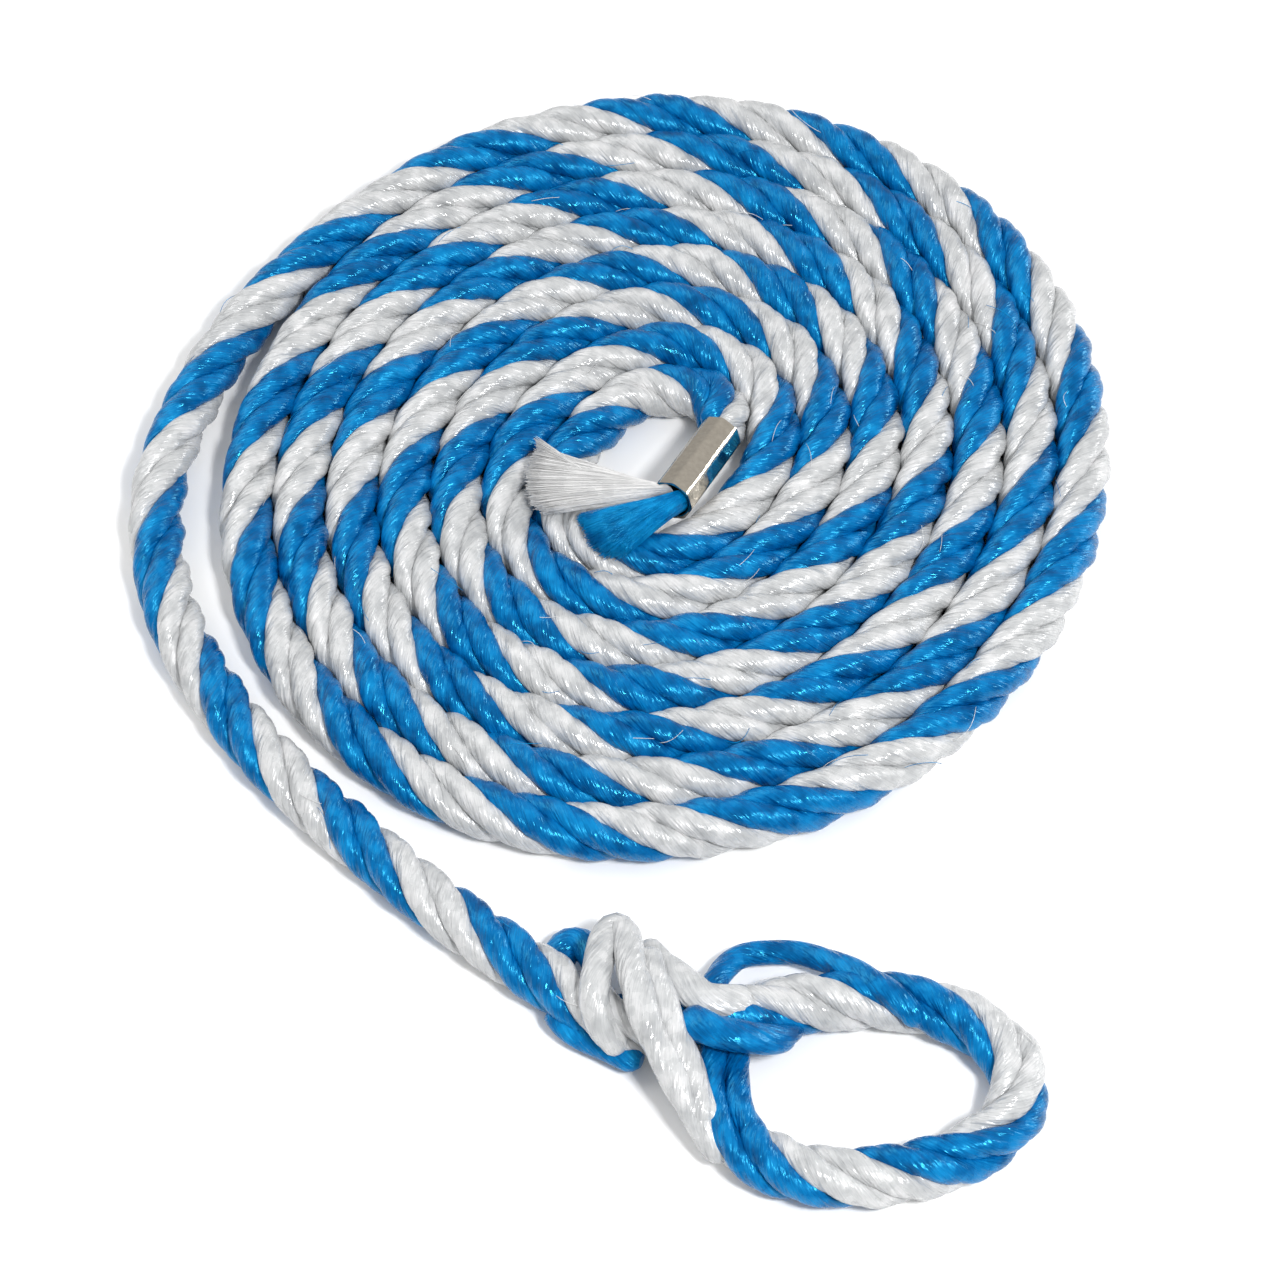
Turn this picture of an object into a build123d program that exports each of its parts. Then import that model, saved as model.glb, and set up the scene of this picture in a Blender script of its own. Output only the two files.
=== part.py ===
from build123d import *

import os
from math import cos, pi, radians, sin, tan

# A coiled dock line: 12 mm four-strand laid rope in a flat coil, with a spliced soft eye on the outer end
# and a crimped metal ferrule with brushed-out fibre tufts on the inner end.
#
# Millimetres, +Z up. The line lies on the plane Z = 0 and the origin is the bottom centre of its box.
# The coil winds inward clockwise seen from above. The eye is at -Y and the coil is at +Y.

# Driving dimensions
rope_diameter = 12.0
strand_diameter = 0.5 * rope_diameter
floor_height = rope_diameter / 2  # of the middle of a rope that lies on the plane Z = 0

# Coil: one flat layer of turns, laid side by side as a slightly oval spiral
coil_centre = (7.0, 35.5)
turn_pitch = 0.95 * rope_diameter
first_turn_radius = 101.0  # where turn 0 would begin, due -X of the centre
oval_amount = 3.9  # how far the oval stands out from the round spiral at its long axis
oval_angle = 121.6  # clockwise from -X
coil_start_turn = 0.115  # where the free tail lifts off the outer turn
coil_end_turn = 7.23  # where the inner end leaves the innermost turn
outline_points = 24  # points around each edge of the coil's solid
coil_edge_radius = 5.0
tail_lead = 23.0  # how far the tail runs straight before it joins the outer turn
hook_lead = 7.0  # how far the inner end runs straight after the innermost turn

# Ferrule: a short plated tube crimped to a rounded octagon
ferrule_sides = 8
ferrule_across_flats = 9.4
ferrule_corner_radius = 1.6
ferrule_bore = 8.2
ferrule_rim_chamfer = 0.25
ferrule_mouth = Vector(21.3, 40.8, 9.0)  # where the rope goes in
ferrule_lip = Vector(10.4, 19.3, 14.0)  # where the brushed fibres come out
ferrule_grip = 5.5  # how far the rope's solid reaches into the bore
ferrule_lead = 5.0  # how far before the mouth the rope's route turns into line with it
ferrule_run = ferrule_lip - ferrule_mouth
ferrule_axis = ferrule_run.normalized()
across_lip = ferrule_axis.cross(Vector(0, 0, 1)).normalized()

# Tufts: each colour's cut fibres are brushed out to a flat fan that rests on the inner turns
tuft_root_diameter = 3.9
tuft_root_gap = 0.1  # between the two roots in the ferrule's lip
tuft_thickness = 2.6
tuft_height = 13.7
white_tuft_end = (-20.3, 25.0)
white_tuft_width = 18.0
blue_tuft_end = (-2.7, 8.8)
blue_tuft_width = 16.5

RUN_SHARE = 0.45  # of the shorter run at a corner, which its arc takes up


def coil_point(turn, outward=0.0):
    """The middle of the rope after so many turns, or a point that far outward from it."""
    angle = 360 * turn
    oval = oval_amount * cos(radians(2 * (angle - oval_angle)))
    radius = first_turn_radius - turn_pitch * turn + oval + outward
    return (
        coil_centre[0] - radius * cos(radians(angle)),
        coil_centre[1] + radius * sin(radians(angle)),
    )


def beyond_end(turn, run, outward=0.0):
    """A point straight off an end of the coil: on inward for a positive run, back out for a negative one."""
    x, y = coil_point(turn, outward)
    return (x + run * sin(radians(360 * turn)), y + run * cos(radians(360 * turn)), floor_height)


def coil_edge(first_turn, outward):
    """Points of one full loop of the spiral, shifted outward by half a rope or inward."""
    steps = [first_turn + step / outline_points for step in range(outline_points + 1)]
    return [coil_point(turn, outward) for turn in steps]


def corner_radii(points):
    """The largest arc that each corner's two runs leave room for."""
    radii = []
    for before, corner, after in zip(points, points[1:], points[2:]):
        run_in, run_out = Vector(corner) - Vector(before), Vector(after) - Vector(corner)
        half_turn = radians(run_in.get_angle(run_out)) / 2
        radii.append(RUN_SHARE * min(run_in.length, run_out.length) / tan(half_turn))
    return radii


def lay_tube(label, points, diameter):
    """A round tube along straight runs that are joined by tangent arcs, written as one sub-part."""
    radii = corner_radii(points)
    with BuildPart() as tube:
        with BuildLine():
            path = FilletPolyline(*points, radius=radii)
        with BuildSketch(Plane(origin=path @ 0, z_dir=path % 0)):
            Circle(diameter / 2)
        sweep(path=path)
    tube.part.label = label
    export_step(tube.part, f"parts/{label}.step")
    section = pi * (diameter / 2) ** 2
    print(f"{label}: length {path.length:.1f}, volume over section {tube.part.volume / section:.1f}")
    print("    radii", *(f"{radius:.1f}" for radius in radii))


def brush_out(label, root, end, width, facing):
    """A fan of fibres from a round root in the ferrule's lip to a flat cut edge."""
    across = (-facing[1], facing[0], 0)
    with BuildPart() as tuft:
        with BuildSketch(Plane(origin=root, x_dir=-across_lip, z_dir=ferrule_axis)):
            Circle(tuft_root_diameter / 2)
        with BuildSketch(Plane(origin=(*end, tuft_height), x_dir=across, z_dir=(*facing, 0))):
            Ellipse(width / 2, tuft_thickness / 2)
        loft()
    tuft.part.label = label
    export_step(tuft.part, f"parts/{label}.step")


os.makedirs("parts", exist_ok=True)

# Coil: the outer shape of all the turns, with the open middle
outer_edge = coil_edge(coil_start_turn, rope_diameter / 2)
inner_edge = coil_edge(coil_end_turn - 1, -rope_diameter / 2)
with BuildPart() as rope_coil:
    with BuildSketch():
        with BuildLine():
            Spline(*outer_edge)
            Line(outer_edge[-1], outer_edge[0])
        make_face()
        with BuildLine():
            Spline(*inner_edge)
            Line(inner_edge[-1], inner_edge[0])
        make_face(mode=Mode.SUBTRACT)
    extrude(amount=rope_diameter)
    level_edges = rope_coil.faces().filter_by(Axis.Z).edges().filter_by(GeomType.BSPLINE)
    fillet(level_edges, coil_edge_radius)
rope_coil.part.label = "rope_coil"
export_step(rope_coil.part, "parts/rope_coil.step")

# Tail: from the outer turn round to the eye splice
tail_points = [
    beyond_end(coil_start_turn, 0, rope_diameter - turn_pitch),
    beyond_end(coil_start_turn, -tail_lead, rope_diameter - turn_pitch),
    (-94.3, 56.9, floor_height),
    (-102.3, 27.4, floor_height),
    (-97.3, -3.1, floor_height),
    (-83.3, -28.6, floor_height),
    (-65.8, -49.1, floor_height),
    (-37.3, -75.6, floor_height),
    (-12.8, -94.1, floor_height),
]
lay_tube("rope_tail", tail_points, rope_diameter)

# Eye: on from the tail through the splice, round the eye and back to the splice
eye_points = [
    (-12.8, -94.1, floor_height),
    (-0.8, -103.16, floor_height),
    (17.2, -102.8, floor_height),
    (33.2, -98.1, floor_height),
    (52.2, -96.6, floor_height),
    (69.2, -101.1, floor_height),
    (78.7, -112.6, floor_height),
    (75.2, -126.1, floor_height),
    (58.2, -134.6, floor_height),
    (39.2, -136.1, floor_height),
    (26.5, -132.0, floor_height),
    (20.3, -123.5, floor_height),
    (19.3, -115.2, floor_height),
]
lay_tube("rope_eye", eye_points, rope_diameter)

# Strands of the splice, each tucked over the rope's round body or lying beside it
white_bight_points = [
    (-8.3, -108.8, 9.6),
    (-8.1, -105.8, 14.5),
    (-4.6, -97.8, 16.2),
    (-1.9, -82.8, 14.0),
    (4.9, -82.8, 14.0),
    (4.9, -98.3, 16.3),
    (8.4, -108.8, 14.0),
    (12.4, -113.3, 12.8),
]
lay_tube("white_strand_bight", white_bight_points, strand_diameter)

white_throat_points = [(3.4, -86.1, 5.6), (10.4, -90.1, 7.0), (18.4, -94.4, 12.6), (24.9, -96.6, 15.8)]
lay_tube("white_strand_throat", white_throat_points, strand_diameter)

white_tuck_points = [(10.9, -93.8, 14.7), (12.0, -99.3, 15.3), (14.4, -105.0, 15.4), (18.2, -110.2, 15.2)]
lay_tube("white_strand_tuck", white_tuck_points, strand_diameter)

blue_crossing_points = [(22.2, -105.0, 15.2), (27.2, -107.9, 14.6), (31.4, -109.4, 11.2), (34.8, -107.8, 7.2)]
lay_tube("blue_strand_crossing", blue_crossing_points, strand_diameter)

blue_loop_points = [
    (18.5, -92.4, 4.6),
    (20.2, -86.1, 6.0),
    (30.4, -82.8, 6.5),
    (42.4, -86.8, 8.5),
    (50.4, -92.0, 14.4),
]
lay_tube("blue_strand_loop", blue_loop_points, strand_diameter)

blue_stub_points = [(0.4, -91.7, 3.1), (-5.6, -87.7, 4.2), (-13.1, -82.1, 6.0)]
lay_tube("blue_strand_stub", blue_stub_points, strand_diameter)

blue_end_points = [(-17.1, -103.4, 3.0), (-8.6, -111.0, 3.0), (2.4, -115.6, 3.0)]
lay_tube("blue_strand_end", blue_end_points, strand_diameter)

# Inner end: off the innermost turn, round in a tight hook and up into the ferrule
hook_points = [
    beyond_end(coil_end_turn, 0),
    beyond_end(coil_end_turn, hook_lead),
    (19.9, 53.6, 6.6),
    tuple(ferrule_mouth - ferrule_axis * ferrule_lead),
    tuple(ferrule_mouth + ferrule_axis * ferrule_grip),
]
lay_tube("rope_inner_end", hook_points, ferrule_bore)

# Ferrule
with BuildPart() as ferrule:
    with BuildSketch(Plane(origin=ferrule_mouth, z_dir=ferrule_axis)) as crimped:
        RegularPolygon(ferrule_across_flats / 2, ferrule_sides, major_radius=False)
        fillet(crimped.vertices(), ferrule_corner_radius)
        Circle(ferrule_bore / 2, mode=Mode.SUBTRACT)
    extrude(amount=ferrule_run.length)
    rims = ferrule.edges().filter_by(GeomType.CIRCLE).group_by(SortBy.RADIUS)[-1]
    chamfer(rims, ferrule_rim_chamfer)
ferrule.part.label = "ferrule"
export_step(ferrule.part, "parts/ferrule.step")

# Tufts, their roots side by side in the ferrule's lip
root_shift = across_lip * (tuft_root_diameter + tuft_root_gap) / 2
brush_out("white_fibre_tuft", ferrule_lip + root_shift, white_tuft_end, white_tuft_width, (-1.0, 0.05))
brush_out("blue_fibre_tuft", ferrule_lip - root_shift, blue_tuft_end, blue_tuft_width, (-0.6, -0.8))
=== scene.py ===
import math

import bpy
import numpy as np
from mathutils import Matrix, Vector


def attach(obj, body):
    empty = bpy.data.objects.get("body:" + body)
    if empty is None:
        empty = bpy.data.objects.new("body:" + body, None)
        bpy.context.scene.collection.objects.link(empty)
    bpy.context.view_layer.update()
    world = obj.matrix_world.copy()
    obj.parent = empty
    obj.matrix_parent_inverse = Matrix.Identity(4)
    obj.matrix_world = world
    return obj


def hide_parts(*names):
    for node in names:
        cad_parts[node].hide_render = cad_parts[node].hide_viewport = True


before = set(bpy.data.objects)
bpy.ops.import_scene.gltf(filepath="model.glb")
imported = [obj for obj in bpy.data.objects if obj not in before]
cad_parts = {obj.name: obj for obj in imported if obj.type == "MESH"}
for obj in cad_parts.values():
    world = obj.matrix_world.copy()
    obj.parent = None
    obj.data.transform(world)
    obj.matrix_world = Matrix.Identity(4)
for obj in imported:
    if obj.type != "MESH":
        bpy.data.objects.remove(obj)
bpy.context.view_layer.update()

# Everything is in metres, in the part's frame.

# Rope: four strands laid right-handed, two blue side by side and two white
rope_diameter = 0.012
strand_offset = 0.00355  # from the rope's middle to the middle of each strand
strand_width = 0.0055  # along the rope's surface
strand_depth = 0.0050  # from the rope's surface inward
strand_angles = {"blue_strand_1": -45, "blue_strand_2": 45, "white_strand_1": 135, "white_strand_2": 225}

# How tightly the rope is laid, from the ferrule outward: stretches of rope, and how many lays each holds.
# They were fitted to the photograph's bands of colour, then adjusted and gathered into few stretches.
lay_stretches = [
    (0.050, 1.40),  # the hook into the ferrule
    (0.150, 3.50),  # the innermost turn
    (0.200, 4.65),  # the inner turns
    (0.800, 20.0),
    (0.600, 14.4),  # the middle turns
    (1.000, 21.8),  # the outer turns
    (0.200, 4.75),  # the tail and the splice
    (0.050, 0.90),  # the eye
    (0.045, 1.10),
    (0.025, 0.10),
]
first_lay = -0.52  # where in its lay the rope is at the ferrule

# How uneven the rope's strands are: how much each one varies, and over what length
strand_drift = 0.00016  # outward and inward
strand_drift_length = 0.014
width_change = 0.05  # as a share of the width
width_change_length = 0.011
depth_change = 0.04  # as a share of the depth
depth_change_length = 0.012

# Strand: yarns twisted against the rope's lay
yarns = 3
yarn_twist_length = 0.036  # of strand, for one turn of its yarns
yarn_depth = 0.00034  # of the grooves between yarns
yarn_fullness = 0.8  # under 1 makes a yarn fuller than half a sine wave
yarn_middle = 0.75  # the share of a yarn's height at which the strand has its plain size
yarn_unevenness = 0.00018  # how much a yarn swells and shrinks, each way
yarn_noise_length = 0.006  # over about how much strand it does so
ring_points = 30  # round a strand
ring_spacing = 0.0012  # along a strand

# Coil, as in the CAD
coil_centre = (0.0070, 0.0355)
turn_pitch = 0.95 * rope_diameter
first_turn_radius = 0.1010
oval_amount = 0.0039
oval_angle = 121.6
coil_start_turn = 0.115
coil_end_turn = 7.23
points_per_turn = 24
floor_height = rope_diameter / 2
tail_lead = 0.0230  # how far the tail runs straight before it joins the outer turn
hook_lead = 0.0070  # how far the inner end runs straight after the innermost turn

# Tail and eye: the points that steer the rope, as in the CAD, and one more under the splice
tail_points = [
    (-0.0943, 0.0569),
    (-0.1023, 0.0274),
    (-0.0973, -0.0031),
    (-0.0833, -0.0286),
    (-0.0658, -0.0491),
    (-0.0373, -0.0756),
    (-0.0128, -0.0941),
]
eye_points = [
    (-0.0008, -0.1032),
    (0.0172, -0.1028),
    (0.0332, -0.0981),
    (0.0522, -0.0966),
    (0.0692, -0.1011),
    (0.0787, -0.1126),
    (0.0752, -0.1261),
    (0.0582, -0.1346),
    (0.0392, -0.1361),
    (0.0265, -0.1320),
    (0.0203, -0.1235),
    (0.0193, -0.1152),
    (0.0196, -0.1088),
]

# Ferrule, as in the CAD
ferrule_mouth = Vector((0.0213, 0.0408, 0.0090))
ferrule_lip = Vector((0.0104, 0.0193, 0.0140))
ferrule_axis = (ferrule_lip - ferrule_mouth).normalized()
across_lip = np.array(ferrule_axis.cross(Vector((0, 0, 1))).normalized())
ferrule_grip = 0.0055  # how far the rope reaches into the ferrule
ferrule_lead = 0.0050  # how far before the mouth the rope's route turns into line with it
ferrule_squeeze = 0.62  # the share of its usual size that the rope has inside the ferrule
ferrule_squeeze_run = 0.004  # the length of rope over which it widens again

# Loose fibres
fibre_radius = 0.00007
fibre_sides = 3
no_fibre_heading = (0.31, 0.17, 1.0)  # a direction that no fibre runs in

# Tufts: cut fibres round a dense body
tuft_length = 0.030
tuft_thickness = 0.0022  # at the cut edge
tuft_hump = 0.0010  # how far a tuft bulges upward on its way
tuft_hump_place = 0.45  # how far along the bulge lies, as a share
tuft_hump_thickness = 0.0004  # how much the fibres part there, up and down
tuft_root_depth = 0.0015  # inside the ferrule's lip
tuft_root_shift = 0.0019  # from the ferrule's middle to the middle of each root
tuft_root_spread = (0.0040, 0.0064)  # each root's width and height in the ferrule's lip
tuft_fibres = 1100
tuft_fibre_points = 9
tuft_fibre_shift = 0.01  # sideways, as a share of the tuft's width
tuft_fibre_layer = 0.85  # the deepest that a fibre lies: 1 is on the surface and 0 in the middle
tuft_raggedness = 0.022  # of the cut edge, as a share of the length
tuft_fibre_drift = 0.00035  # of a fibre's tip, any way
tuft_body_points = 36
tuft_body_rows = 14
tuft_body_reach = 0.95  # as shares of the tuft's length, width and thickness
tuft_body_half_width = 0.48
tuft_body_thickness = 0.75
white_tuft_edge = [
    (-0.0172, 0.0330, 0.0140),
    (-0.0198, 0.0308, 0.0140),
    (-0.0206, 0.0274, 0.0138),
    (-0.0205, 0.0226, 0.0138),
    (-0.0196, 0.0194, 0.0137),
    (-0.0165, 0.0162, 0.0137),
]
blue_tuft_edge = [
    (-0.0097, 0.0148, 0.0140),
    (-0.0084, 0.0128, 0.0138),
    (-0.0071, 0.0087, 0.0136),
    (-0.0047, 0.0061, 0.0134),
    (0.0000, 0.0055, 0.0132),
]

# Wisp: a few fibres that lie apart from the white tuft
wisp_root = (-0.0057, 0.0237, 0.0152)
wisp_root_spread = (0.0012, 0.0008)
wisp_edge = [(-0.0190, 0.0352, 0.0145), (-0.0176, 0.0325, 0.0145)]
wisp_fibres = 90

# Stray fibres, which arch off the rope
stray_fibres = 45  # of each colour, along the whole rope
stray_points = 8
stray_margin = 60  # points of the rope's line that stay clear at each end
stray_turn = 1.2  # the furthest round from the top of the rope that they start, in radians
stray_root_depth = 0.0006  # under the rope's outside
stray_reach = (0.004, 0.009)  # the shortest and the longest
stray_lift = (0.0004, 0.0013)  # the lowest and the highest arch
stray_bend = 0.6  # the most that one runs sideways, as a share of its reach

# Colours: the dark, middle and light shade of each kind of fibre
blue_shades = [(0.000, 0.042, 0.165), (0.000, 0.105, 0.325), (0.002, 0.185, 0.470)]
white_shades = [(0.36, 0.37, 0.38), (0.48, 0.49, 0.495), (0.62, 0.62, 0.625)]
# Lighter copies of the strands' colours for the tufts, wisp and stray fibres: painted light that lifts the
# shade falling among the loose fibres
loose_fibre_blue_lit_shades = [(0.000, 0.100, 0.330), (0.000, 0.190, 0.480), (0.005, 0.290, 0.620)]
loose_fibre_white_lit_shades = [(0.60, 0.60, 0.60), (0.67, 0.67, 0.67), (0.74, 0.74, 0.735)]
cyan_sheen = (0.08, 0.70, 1.00)
white_sheen = (1.0, 1.0, 1.0)
metal_shades = [(0.63, 0.57, 0.48), (0.72, 0.66, 0.56)]

# Camera, at the photograph's angle, and floor
camera_place = (0.00364, -0.4306, 0.6278)
camera_tilt = 34  # degrees up from straight down
camera_lens = 100
camera_sensor = 36
floor_half = 3.0  # from its middle to its sides
floor_drop = 0.0004  # below the plane that the line lies on


# ---------------------------------------------------------------- camera, light and floor


def make_camera():
    """Looks down at the line at the photograph's angle."""
    data = bpy.data.cameras.new("camera")
    data.lens = camera_lens
    data.sensor_width = camera_sensor
    camera = bpy.data.objects.new("camera", data)
    camera.location = camera_place
    camera.rotation_euler = (math.radians(camera_tilt), 0, 0)
    bpy.context.scene.collection.objects.link(camera)
    bpy.context.scene.camera = camera


def make_light(name, location, size, power):
    """A square soft light that points at the origin."""
    data = bpy.data.lights.new(name, "AREA")
    data.shape = "SQUARE"
    data.size = size
    data.energy = power
    light = bpy.data.objects.new(name, data)
    light.location = location
    light.rotation_euler = (-Vector(location)).to_track_quat("-Z", "Y").to_euler()
    bpy.context.scene.collection.objects.link(light)


def make_lights():
    """The key light is front right, the broad fill back left and the low rim light back right."""
    make_light("key_light", location=(0.25, -0.40, 0.70), size=0.12, power=5.4)
    make_light("fill_light", location=(-0.55, 0.30, 0.60), size=0.60, power=2.8)
    make_light("rim_light", location=(0.70, 0.38, 0.24), size=0.22, power=1.6)


def make_sky():
    """White light from all round, which weakens towards the horizon."""
    world = bpy.data.worlds.new("studio")
    world.use_nodes = True
    nodes, links = world.node_tree.nodes, world.node_tree.links
    direction = nodes.new("ShaderNodeTexCoord")
    split = nodes.new("ShaderNodeSeparateXYZ")
    links.new(direction.outputs["Generated"], split.inputs["Vector"])
    sky = nodes.new("ShaderNodeMapRange")
    sky.inputs["To Min"].default_value = 0.40
    sky.inputs["To Max"].default_value = 0.68
    links.new(split.outputs["Z"], sky.inputs["Value"])
    links.new(sky.outputs["Result"], nodes["Background"].inputs["Strength"])
    nodes["Background"].inputs["Color"].default_value = (1.0, 1.0, 1.0, 1)
    bpy.context.scene.world = world


def make_floor():
    """A plain pale floor."""
    corners = [(-1, -1), (1, -1), (1, 1), (-1, 1)]
    mesh = bpy.data.meshes.new("floor")
    points = [(x * floor_half, y * floor_half, -floor_drop) for x, y in corners]
    mesh.from_pydata(points, [], [(0, 1, 2, 3)])
    floor = bpy.data.objects.new("floor", mesh)
    bpy.context.scene.collection.objects.link(floor)
    material = bpy.data.materials.new("pale_floor")
    material.use_nodes = True
    shader = material.node_tree.nodes["Principled BSDF"]
    shader.inputs["Base Color"].default_value = (0.93, 0.93, 0.93, 1)
    shader.inputs["Roughness"].default_value = 0.9
    mesh.materials.append(material)


# ---------------------------------------------------------------- routes


def coil_point(turn, outward=0.0):
    """The middle of the rope after so many turns, or a point that far outward from it."""
    angle = math.radians(360 * turn)
    oval = oval_amount * math.cos(2 * (angle - math.radians(oval_angle)))
    radius = first_turn_radius - turn_pitch * turn + oval + outward
    return (
        coil_centre[0] - radius * math.cos(angle),
        coil_centre[1] + radius * math.sin(angle),
        floor_height,
    )


def beyond_end(turn, run, outward=0.0):
    """A point straight off an end of the coil: inward for a positive run, outward for a negative one."""
    angle = math.radians(360 * turn)
    x, y, z = coil_point(turn, outward)
    return (x + run * math.sin(angle), y + run * math.cos(angle), z)


def coil_turns():
    """The coil's control points, far enough out that the smooth line between them has the true radius."""
    count = round((coil_end_turn - coil_start_turn) * points_per_turn)
    reach = 1 / math.cos(math.pi / points_per_turn)
    points = []
    for step in range(count + 1):
        turn = coil_end_turn + (coil_start_turn - coil_end_turn) * step / count
        x, y, z = coil_point(turn)
        run_x, run_y = x - coil_centre[0], y - coil_centre[1]
        points.append((coil_centre[0] + run_x * reach, coil_centre[1] + run_y * reach, z))
    return points


def rope_route():
    """Out of the ferrule, round the hook, out through the coil, along the tail and round the eye."""
    hook = [
        tuple(ferrule_mouth + ferrule_axis * ferrule_grip),
        tuple(ferrule_mouth - ferrule_axis * ferrule_lead),
        (0.0199, 0.0536, 0.0066),
        beyond_end(coil_end_turn, hook_lead),
    ]
    tail_start = beyond_end(coil_start_turn, -tail_lead, rope_diameter - turn_pitch)
    level = [(x, y, floor_height) for x, y in tail_points + eye_points]
    return [*hook, *coil_turns(), tail_start, *level]


def smooth_line(points):
    """Points read along the smooth curve that has these control points, evenly spaced."""
    data = bpy.data.curves.new("route", "CURVE")
    data.dimensions = "3D"
    spline = data.splines.new("NURBS")
    spline.points.add(len(points) - 1)
    for place, point in zip(spline.points, points):
        place.co = (*point, 1)
    spline.order_u = 3
    spline.use_endpoint_u = True
    spline.resolution_u = 24
    route = bpy.data.objects.new("route", data)
    mesh = bpy.data.meshes.new_from_object(route)
    line = np.array([vertex.co for vertex in mesh.vertices], float)
    bpy.data.objects.remove(route)
    bpy.data.curves.remove(data)
    bpy.data.meshes.remove(mesh)
    along = distance_along(line)
    count = math.ceil(along[-1] / ring_spacing) + 1
    places = np.linspace(0, along[-1], count)
    return np.stack([np.interp(places, along, line[:, axis]) for axis in range(3)], axis=1)


def distance_along(line):
    """How far along the line each of its points is."""
    steps = np.linalg.norm(np.diff(line, axis=0), axis=1)
    return np.concatenate([[0], np.cumsum(steps)])


def unit(vectors):
    """The same directions, each one long."""
    return vectors / np.linalg.norm(vectors, axis=1)[:, None]


def square_to(vectors, directions):
    """The part of each vector that is square to its direction, one long."""
    return unit(vectors - (vectors * directions).sum(1)[:, None] * directions)


def headings(line):
    """Which way the line runs at each of its points."""
    return unit(np.gradient(line, axis=0))


def upward(line):
    """Straight up, once for each point of the line."""
    return np.array([[0, 0, 1.0]] * len(line))


def rise(value):
    """A smooth step from 0 to 1."""
    value = np.clip(value, 0, 1)
    return value * value * (3 - 2 * value)


# ---------------------------------------------------------------- strands


def uneven(along, length, random):
    """A random number from -1 to 1 at every such length along a line, and straight runs between them."""
    knots = np.arange(0, along[-1] + 2 * length, length)
    return np.interp(along, knots, random.uniform(-1, 1, len(knots)))


def twisted_rings(line, outward, width, depth, seed):
    """Rings of points round a strand, which twist with its yarns. The yarns stand out as ridges."""
    random = np.random.default_rng(seed)
    along = distance_along(line)
    direction = headings(line)
    outward = square_to(outward, direction)
    side = np.cross(direction, outward)
    around = 2 * np.pi * np.arange(ring_points) / ring_points
    angle = around[None, :] - 2 * np.pi * along[:, None] / yarn_twist_length
    ridge = np.abs(np.sin(yarns * around / 2)) ** yarn_fullness
    which = np.floor(yarns * np.arange(ring_points) / ring_points).astype(int)
    bulge = np.stack([uneven(along, yarn_noise_length, random) for _ in range(yarns)])[which].T
    height = yarn_depth * (ridge[None, :] - yarn_middle) + yarn_unevenness * ridge[None, :] * bulge
    wide = (width / 2)[:, None] * (1 + height / (strand_depth / 2)) * np.cos(angle)
    deep = (depth / 2)[:, None] * (1 + height / (strand_depth / 2)) * np.sin(angle)
    return line[:, None, :] + wide[..., None] * side[:, None, :] + deep[..., None] * outward[:, None, :]


def tube_mesh(name, rings, along):
    """A closed tube through rings of points, with a map of the distance along it and the way round."""
    count, points = rings.shape[:2]
    first = np.arange(count - 1)[:, None] * points
    here = np.arange(points)[None, :]
    after = (np.arange(points)[None, :] + 1) % points
    faces = np.stack([first + here, first + after, first + points + after, first + points + here], axis=-1)
    sides = faces.reshape(-1, 4).tolist()
    caps = [list(range(points))[::-1], [(count - 1) * points + k for k in range(points)]]
    mesh = bpy.data.meshes.new(name)
    mesh.from_pydata(rings.reshape(-1, 3).tolist(), [], sides + caps)
    mesh.polygons.foreach_set("use_smooth", [True] * len(sides) + [False, False])

    rows = np.broadcast_to(along[:-1, None], (count - 1, points))
    next_rows = np.broadcast_to(along[1:, None], (count - 1, points))
    turn = np.broadcast_to(np.arange(points)[None, :] / points, (count - 1, points))
    next_turn = turn + 1 / points
    corners = np.stack(
        [
            np.stack([rows, turn], axis=-1),
            np.stack([rows, next_turn], axis=-1),
            np.stack([next_rows, next_turn], axis=-1),
            np.stack([next_rows, turn], axis=-1),
        ],
        axis=2,
    ).reshape(-1, 2)
    fibre_map = mesh.uv_layers.new(name="fibres")
    caps_map = np.zeros((2 * points, 2))
    fibre_map.data.foreach_set("uv", np.concatenate([corners, caps_map]).astype(np.float32).ravel())
    mesh.update()
    return mesh


def show(name, mesh, material):
    """Adds a piece of the line to the scene."""
    piece = bpy.data.objects.new(name, mesh)
    bpy.context.scene.collection.objects.link(piece)
    mesh.materials.append(material)
    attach(piece, "root")
    return piece


def rope_angle(along):
    """How far the rope has turned about its own line, in radians."""
    knots, lays = np.cumsum([(0, first_lay), *lay_stretches], axis=0).T
    return 2 * np.pi * np.interp(along, knots, lays)


def make_rope_strand(name, degrees, rope_line, material, seed):
    """One of the rope's four strands, wound round the rope's line and squeezed inside the ferrule."""
    random = np.random.default_rng(seed)
    along = distance_along(rope_line)
    direction = headings(rope_line)
    up = square_to(upward(rope_line), direction)
    side = np.cross(direction, up)
    angle = rope_angle(along) + math.radians(degrees)
    outward = np.cos(angle)[:, None] * up + np.sin(angle)[:, None] * side
    squeeze = ferrule_squeeze + (1 - ferrule_squeeze) * rise((along - ferrule_grip) / ferrule_squeeze_run)
    offset = (strand_offset + strand_drift * uneven(along, strand_drift_length, random)) * squeeze
    line = rope_line + offset[:, None] * outward
    width = strand_width * squeeze * (1 + width_change * uneven(along, width_change_length, random))
    depth = strand_depth * squeeze * (1 + depth_change * uneven(along, depth_change_length, random))
    mesh = tube_mesh(name, twisted_rings(line, outward, width, depth, seed), distance_along(line))
    return show(name, mesh, material)


# ---------------------------------------------------------------- splice

end_rounding = 0.0022  # the length over which a strand's end is rounded off

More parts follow.
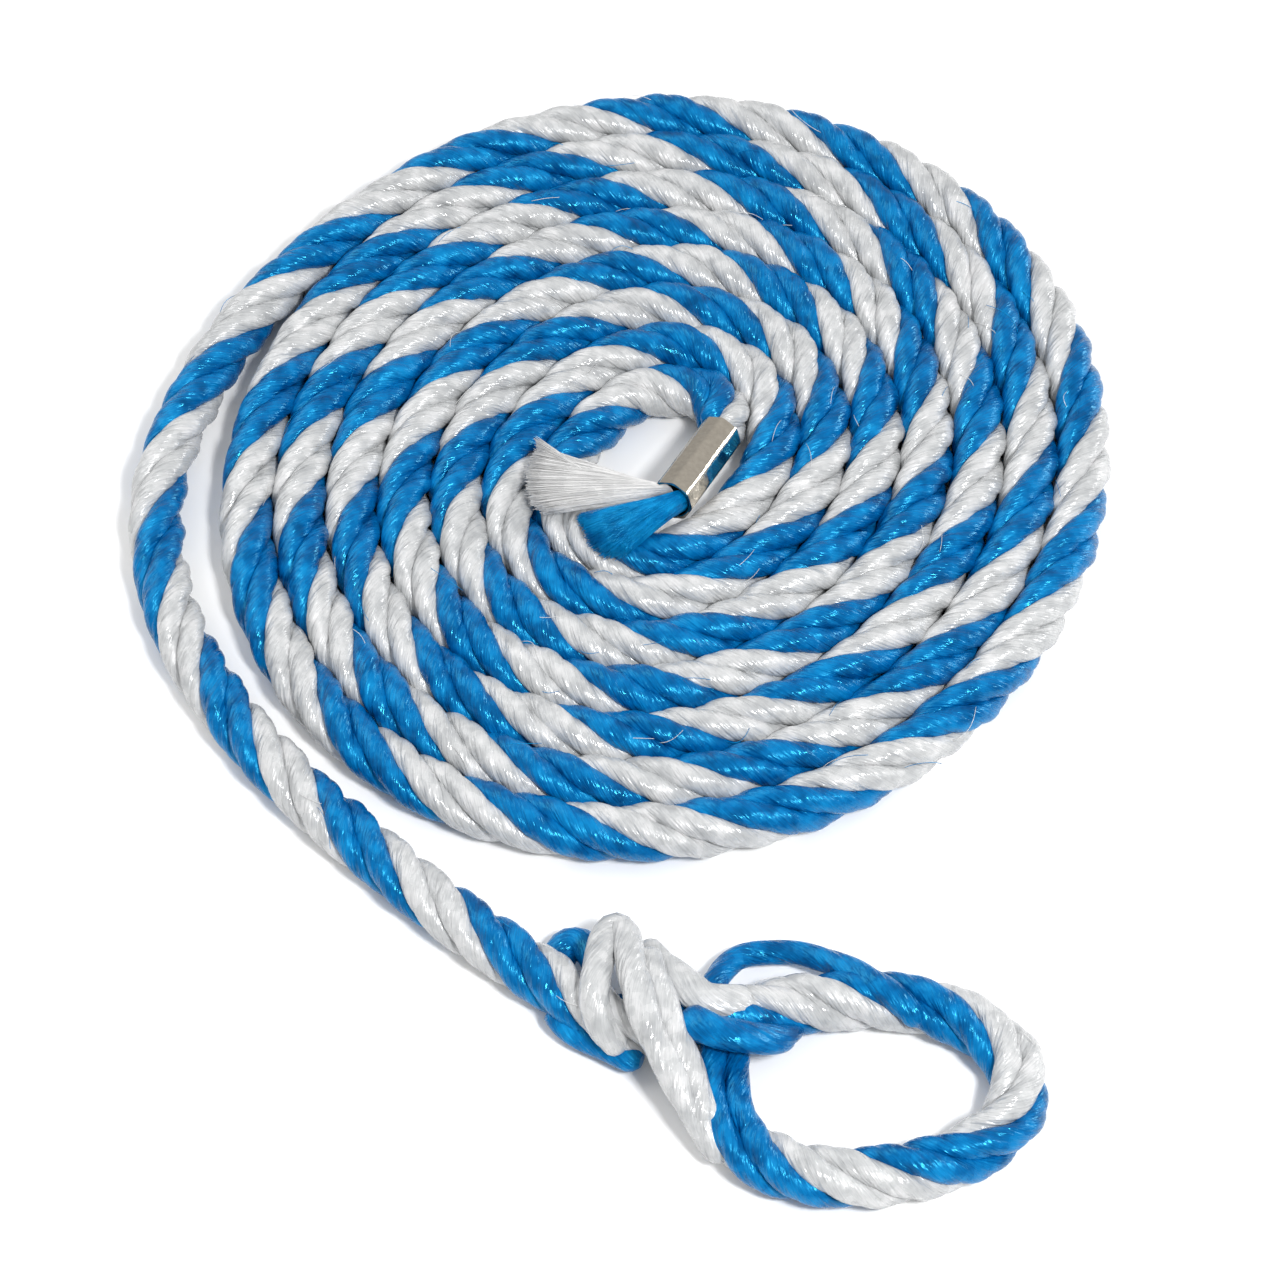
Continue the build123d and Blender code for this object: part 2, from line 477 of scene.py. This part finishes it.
# The routes of the strands that are tucked back at the eye
bight_route = [
    (0.0006, -0.1072, 0.0050),
    (-0.0029, -0.1062, 0.0080),
    (-0.0051, -0.1026, 0.0120),
    (-0.0053, -0.0970, 0.0140),
    (-0.0039, -0.0900, 0.0130),
    (-0.0028, -0.0855, 0.0115),
    (-0.0010, -0.0832, 0.0110),
    (0.0010, -0.0856, 0.0125),
    (0.0016, -0.0908, 0.0145),
    (0.0026, -0.0976, 0.0160),
    (0.0041, -0.1044, 0.0163),
    (0.0068, -0.1102, 0.0140),
    (0.0101, -0.1165, 0.0120),
    (0.0134, -0.1217, 0.0095),
    (0.0168, -0.1268, 0.0070),
    (0.0205, -0.1311, 0.0045),
]
tuck_route = [
    (0.0045, -0.0892, 0.0120),
    (0.0067, -0.0961, 0.0140),
    (0.0086, -0.1029, 0.0148),
    (0.0107, -0.1092, 0.0138),
    (0.0132, -0.1148, 0.0120),
    (0.0153, -0.1202, 0.0100),
    (0.0172, -0.1259, 0.0085),
]
throat_route = [
    (0.0031, -0.0861, 0.0080),
    (0.0069, -0.0908, 0.0100),
    (0.0116, -0.0961, 0.0115),
    (0.0159, -0.0999, 0.0120),
    (0.0210, -0.1005, 0.0110),
    (0.0265, -0.0992, 0.0090),
]
crossing_route = [
    (0.0115, -0.1043, 0.0125),
    (0.0157, -0.1072, 0.0143),
    (0.0202, -0.1092, 0.0148),
    (0.0252, -0.1096, 0.0136),
    (0.0296, -0.1080, 0.0105),
    (0.0322, -0.1050, 0.0065),
    (0.0330, -0.1010, 0.0036),
]
loop_route = [
    (0.0168, -0.0986, 0.0070),
    (0.0180, -0.0940, 0.0060),
    (0.0203, -0.0894, 0.0045),
    (0.0237, -0.0859, 0.0035),
    (0.0284, -0.0846, 0.0032),
    (0.0350, -0.0850, 0.0036),
    (0.0410, -0.0879, 0.0055),
    (0.0469, -0.0922, 0.0085),
    (0.0515, -0.0967, 0.0105),
    (0.0559, -0.1004, 0.0100),
    (0.0591, -0.1033, 0.0075),
]
stub_route = [
    (-0.0034, -0.0899, 0.0050),
    (-0.0063, -0.0846, 0.0045),
    (-0.0097, -0.0825, 0.0040),
    (-0.0125, -0.0845, 0.0036),
    (-0.0130, -0.0893, 0.0032),
]
end_route = [
    (-0.0135, -0.0987, 0.0040),
    (-0.0109, -0.1020, 0.0035),
    (-0.0061, -0.1048, 0.0032),
    (-0.0010, -0.1074, 0.0032),
    (0.0041, -0.1096, 0.0040),
]


def make_splice_strand(name, points, width, depth, material, seed, ends):
    """A strand that has left the rope, on its own route, with each end rounded to a share of its size."""
    line = smooth_line(points)
    along = distance_along(line)
    start = ends[0] + (1 - ends[0]) * np.sqrt(rise(along / end_rounding))
    finish = ends[1] + (1 - ends[1]) * np.sqrt(rise((along[-1] - along) / end_rounding))
    share = start * finish
    rings = twisted_rings(line, upward(line), width * share, depth * share, seed)
    return show(name, tube_mesh(name, rings, along), material)


def make_splice(finishes):
    """The eye's strands where they are tucked back, over and beside the rope."""
    # Each strand's name, which CAD node it replaces, its route, width, depth and the sizes it ends at
    pieces = [
        ("white_bight", "white_strand_bight", bight_route, 0.0063, 0.0056, (0.4, 0.4)),
        ("white_tuck", "white_strand_tuck", tuck_route, 0.0058, 0.0052, (0.4, 0.4)),
        ("white_throat", "white_strand_throat", throat_route, 0.0074, 0.0042, (0.4, 0.4)),
        ("blue_crossing", "blue_strand_crossing", crossing_route, 0.0070, 0.0046, (0.4, 0.4)),
        ("blue_loop", "blue_strand_loop", loop_route, 0.0052, 0.0048, (0.4, 0.4)),
        ("blue_stub", "blue_strand_stub", stub_route, 0.0070, 0.0056, (0.4, 0.4)),
        ("blue_end", "blue_strand_end", end_route, 0.0056, 0.0046, (0.8, 0.5)),
    ]
    strands = []
    for seed, (name, node, points, width, depth, ends) in enumerate(pieces, start=21):
        colour = name.split("_")[0]
        finish, slot = finishes[colour], f"{colour}_strand"
        strand = make_splice_strand(name, points, width, depth, finish, seed, ends)
        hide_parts(node)
        strands.append(strand)
    return strands


# ---------------------------------------------------------------- loose fibres


def fibre_tubes(name, lines, random):
    """Many thin closed tubes in one mesh, each along its own points and at its own place in the map."""
    points, faces, smooth, fibre_uv = [], [], [], []
    for line in lines:
        direction = headings(line)
        across = square_to(np.array([no_fibre_heading] * len(line)), direction)
        side = np.cross(direction, across)
        along = distance_along(line) + random.uniform(0, 1)
        own_turn = random.uniform(0, 1)
        start = len(points)
        for place, one, other in zip(line, across, side):
            for k in range(fibre_sides):
                turn = 2 * math.pi * k / fibre_sides
                points.append(place + fibre_radius * (math.cos(turn) * one + math.sin(turn) * other))
        for step in range(len(line) - 1):
            low, high = start + step * fibre_sides, start + (step + 1) * fibre_sides
            for k in range(fibre_sides):
                after = (k + 1) % fibre_sides
                faces.append((low + k, low + after, high + after, high + k))
                fibre_uv += [(along[step], own_turn)] * 2 + [(along[step + 1], own_turn)] * 2
                smooth.append(True)
        last = start + (len(line) - 1) * fibre_sides
        faces.append(tuple(start + k for k in range(fibre_sides))[::-1])
        faces.append(tuple(last + k for k in range(fibre_sides)))
        fibre_uv += [(along[0], own_turn)] * fibre_sides + [(along[-1], own_turn)] * fibre_sides
        smooth += [False, False]
    mesh = bpy.data.meshes.new(name)
    mesh.from_pydata([tuple(point) for point in points], [], faces)
    mesh.polygons.foreach_set("use_smooth", smooth)
    mesh.uv_layers.new(name="fibres").data.foreach_set("uv", np.array(fibre_uv, np.float32).ravel())
    mesh.update()
    return mesh


def tuft_point(root, edge, place, layer, share, spread, reach=1.0):
    """A point of a tuft: so far across it, through its thickness, and from its root to its edge."""
    along_edge = distance_along(edge) / distance_along(edge)[-1]
    end = np.array([np.interp(place, along_edge, edge[:, axis]) for axis in range(3)])
    width, height = spread
    begin = root + width * (0.5 - place) * across_lip + np.array([0, 0, height / 2 * layer])
    end = begin + (end - begin) * reach + np.array([0, 0, tuft_thickness / 2 * layer])
    middle = (1 - tuft_hump_place) * begin + tuft_hump_place * end
    middle = middle + np.array([0, 0, tuft_hump + tuft_hump_thickness * layer])
    return (1 - share) ** 2 * begin + 2 * share * (1 - share) * middle + share**2 * end


def make_tuft_body(name, root, edge, spread, material):
    """The dense inside of a tuft, a little shorter than its fibres."""
    turns = 2 * np.pi * np.arange(tuft_body_points) / tuft_body_points
    across = [0.5 + tuft_body_half_width * math.cos(turn) for turn in turns]
    layers = [tuft_body_thickness * math.sin(turn) for turn in turns]
    shares = np.linspace(0, tuft_body_reach, tuft_body_rows)
    rings = []
    for share in shares:
        places = zip(across, layers)
        rings.append([tuft_point(root, edge, place, layer, share, spread) for place, layer in places])
    return show(name, tube_mesh(name, np.array(rings), shares * tuft_length), material)


def make_tuft_fibres(name, root, edge, spread, count, material, seed):
    """Cut fibres that spread from their root to a ragged edge."""
    random = np.random.default_rng(seed)
    shares = np.linspace(0, 1, tuft_fibre_points)
    lines = []
    for _ in range(count):
        place = np.clip(random.uniform(0, 1) + random.normal(0, tuft_fibre_shift), 0, 1)
        layer = random.choice([-1, 1]) * random.uniform(tuft_fibre_layer, 1.0)
        layer = layer * math.sqrt(1 - (2 * place - 1) ** 2)
        reach = 1 - abs(random.normal(0, tuft_raggedness))
        drift = tuft_fibre_drift * random.normal(0, 1, 3)
        line = np.array([tuft_point(root, edge, place, layer, share, spread, reach) for share in shares])
        lines.append(line + shares[:, None] ** 2 * drift)
    return show(name, fibre_tubes(name, lines, random), material)


def make_tufts(finishes):
    """Each colour's fibres, brushed out of the ferrule's lip on to the inner turns, and a white wisp."""
    lip = np.array(ferrule_lip - ferrule_axis * tuft_root_depth)
    shift = tuft_root_shift * across_lip
    fans = [("white", lip + shift, white_tuft_edge), ("blue", lip - shift, blue_tuft_edge)]
    pieces = []
    for seed, (colour, root, edge) in enumerate(fans, start=31):
        name, finish, slot = f"{colour}_tuft", finishes[colour], f"{colour}_strand"
        edge = np.array(edge)
        body = make_tuft_body(f"{name}_body", root, edge, tuft_root_spread, finish)
        fibres = make_tuft_fibres(name, root, edge, tuft_root_spread, tuft_fibres, finish, seed)
        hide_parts(f"{colour}_fibre_tuft")
        pieces += [body, fibres]
    name, finish, slot = "white_wisp", finishes["white"], "white_strand"
    root, edge = np.array(wisp_root), np.array(wisp_edge)
    wisp = make_tuft_fibres(name, root, edge, wisp_root_spread, wisp_fibres, finish, seed=33)
    return [*pieces, wisp]


def make_stray_fibres(name, rope_line, material, seed):
    """Loose fibres that arch off the top of the rope here and there."""
    random = np.random.default_rng(seed)
    direction = headings(rope_line)
    up = square_to(upward(rope_line), direction)
    side = np.cross(direction, up)
    shares = np.linspace(0, 1, stray_points)[:, None]
    lines = []
    for _ in range(stray_fibres):
        place = random.integers(stray_margin, len(rope_line) - stray_margin)
        turn = random.uniform(-stray_turn, stray_turn)
        outward = math.cos(turn) * up[place] + math.sin(turn) * side[place]
        sideways = math.cos(turn) * side[place] - math.sin(turn) * up[place]
        reach = random.uniform(*stray_reach) * shares
        lift = random.uniform(*stray_lift) * np.sin(np.pi * shares)
        bend = random.uniform(-stray_bend, stray_bend) * shares
        root = rope_line[place] + (rope_diameter / 2 - stray_root_depth) * outward
        lines.append(root + reach * (direction[place] + bend * sideways) + lift * outward)
    return show(name, fibre_tubes(name, lines, random), material)


# ---------------------------------------------------------------- materials


def add_noise(nodes, links, coordinate, scale, detail):
    """A noise texture that reads the given coordinate."""
    noise = nodes.new("ShaderNodeTexNoise")
    noise.inputs["Scale"].default_value = scale
    noise.inputs["Detail"].default_value = detail
    links.new(coordinate, noise.inputs["Vector"])
    return noise.outputs["Fac"]


def add_stretched_noise(nodes, links, along_strand, round_strand, detail):
    """A noise texture on a strand's own map, so fine along the strand and so fine round it."""
    strand_map = nodes.new("ShaderNodeUVMap")
    strand_map.uv_map = "fibres"
    stretch = nodes.new("ShaderNodeMapping")
    stretch.inputs["Scale"].default_value = (along_strand, round_strand, 1)
    links.new(strand_map.outputs["UV"], stretch.inputs["Vector"])
    return add_noise(nodes, links, stretch.outputs["Vector"], scale=1.0, detail=detail)


def add_range(nodes, links, value, low, high):
    """Figures from low to high for a noise, most of which lies between 0.3 and 0.7."""
    spread = nodes.new("ShaderNodeMapRange")
    spread.inputs["From Min"].default_value = 0.3
    spread.inputs["From Max"].default_value = 0.7
    spread.inputs["To Min"].default_value = low
    spread.inputs["To Max"].default_value = high
    links.new(value, spread.inputs["Value"])
    return spread.outputs["Result"]


def add_ramp(nodes, links, value, stops):
    """A colour for each value, from stops of position and colour."""
    ramp = nodes.new("ShaderNodeValToRGB")
    (first, first_colour), *between, (last, last_colour) = stops
    ramp.color_ramp.elements[0].position = first
    ramp.color_ramp.elements[0].color = (*first_colour, 1)
    ramp.color_ramp.elements[1].position = last
    ramp.color_ramp.elements[1].color = (*last_colour, 1)
    for position, colour in between:
        ramp.color_ramp.elements.new(position).color = (*colour, 1)
    links.new(value, ramp.inputs["Fac"])
    return ramp.outputs["Color"]


def add_bump(nodes, links, height, distance, strength, normal=None):
    """Small relief from a height, on top of another relief where one is given."""
    bump = nodes.new("ShaderNodeBump")
    bump.inputs["Distance"].default_value = distance
    bump.inputs["Strength"].default_value = strength
    links.new(height, bump.inputs["Height"])
    if normal:
        links.new(normal, bump.inputs["Normal"])
    return bump.outputs["Normal"]


def add_mix(nodes, links, one, other, share):
    """A share of one value and the rest of the other."""
    mix = nodes.new("ShaderNodeMix")
    mix.inputs["Factor"].default_value = 1 - share
    links.new(one, mix.inputs["A"])
    links.new(other, mix.inputs["B"])
    return mix.outputs["Result"]


def fibre_material(name, shades, sheen):
    """Glossy polypropylene yarn: fine fibres, patches, and crinkles that break up its sheen."""
    material = bpy.data.materials.new(name)
    material.use_nodes = True
    nodes, links = material.node_tree.nodes, material.node_tree.links
    shader = nodes["Principled BSDF"]
    shader.inputs["Specular IOR Level"].default_value = 1.0
    shader.inputs["Specular Tint"].default_value = (*sheen, 1)

    body = nodes.new("ShaderNodeTexCoord").outputs["Object"]
    fibres = add_stretched_noise(nodes, links, along_strand=90, round_strand=70, detail=4.0)
    crinkles = add_stretched_noise(nodes, links, along_strand=300, round_strand=18, detail=2.0)
    patches = add_noise(nodes, links, body, scale=240, detail=2.0)
    streaks = add_mix(nodes, links, fibres, patches, share=0.35)
    dark, middle, light = shades
    colour = add_ramp(nodes, links, streaks, [(0.34, dark), (0.5, middle), (0.66, light)])
    roughness = add_range(nodes, links, patches, low=0.15, high=0.37)
    crinkled = add_bump(nodes, links, crinkles, distance=0.0008, strength=0.7)
    relief = add_bump(nodes, links, fibres, distance=0.00012, strength=0.15, normal=crinkled)
    links.new(colour, shader.inputs["Base Color"])
    links.new(roughness, shader.inputs["Roughness"])
    links.new(relief, shader.inputs["Normal"])
    return material


def ferrule_material():
    """Bright plated metal with a warm tint, faint marks and small dents from the crimping tool."""
    material = bpy.data.materials.new("plated_metal")
    material.use_nodes = True
    nodes, links = material.node_tree.nodes, material.node_tree.links
    shader = nodes["Principled BSDF"]
    shader.inputs["Metallic"].default_value = 1.0
    body = nodes.new("ShaderNodeTexCoord").outputs["Object"]
    marks = add_noise(nodes, links, body, scale=900, detail=5.0)
    dents = add_noise(nodes, links, body, scale=190, detail=2.0)
    dull, bright = metal_shades
    tint = add_ramp(nodes, links, marks, [(0.3, dull), (0.7, bright)])
    roughness = add_range(nodes, links, marks, low=0.05, high=0.12)
    relief = add_bump(nodes, links, dents, distance=0.0012, strength=0.2)
    links.new(tint, shader.inputs["Base Color"])
    links.new(roughness, shader.inputs["Roughness"])
    links.new(relief, shader.inputs["Normal"])
    return material


# ---------------------------------------------------------------- the line

make_camera()
make_lights()
make_sky()
make_floor()
bpy.context.scene.view_settings.view_transform = "Standard"

finishes = {
    "blue": fibre_material("blue_polypropylene", blue_shades, cyan_sheen),
    "white": fibre_material("white_polypropylene", white_shades, white_sheen),
}
# The loose fibres' materials have lighter colours than the strands: painted light over the shade among the
# fibres
loose_fibre_lit_finishes = {
    "blue": fibre_material("blue_fibres_painted_light", loose_fibre_blue_lit_shades, cyan_sheen),
    "white": fibre_material("white_fibres_painted_light", loose_fibre_white_lit_shades, white_sheen),
}

rope_line = smooth_line(rope_route())
for seed, (name, degrees) in enumerate(strand_angles.items(), start=1):
    finish = finishes[name.split("_")[0]]
    make_rope_strand(name, degrees, rope_line, finish, seed)
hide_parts("rope_coil", "rope_tail", "rope_eye", "rope_inner_end")

splice = make_splice(finishes)
tufts = make_tufts(loose_fibre_lit_finishes)
strays = [
    make_stray_fibres("blue_stray_fibres", rope_line, loose_fibre_lit_finishes["blue"], seed=41),
    make_stray_fibres("white_stray_fibres", rope_line, loose_fibre_lit_finishes["white"], seed=42),
]

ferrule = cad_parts["ferrule"]
ferrule.data.materials.clear()
ferrule.data.materials.append(ferrule_material())
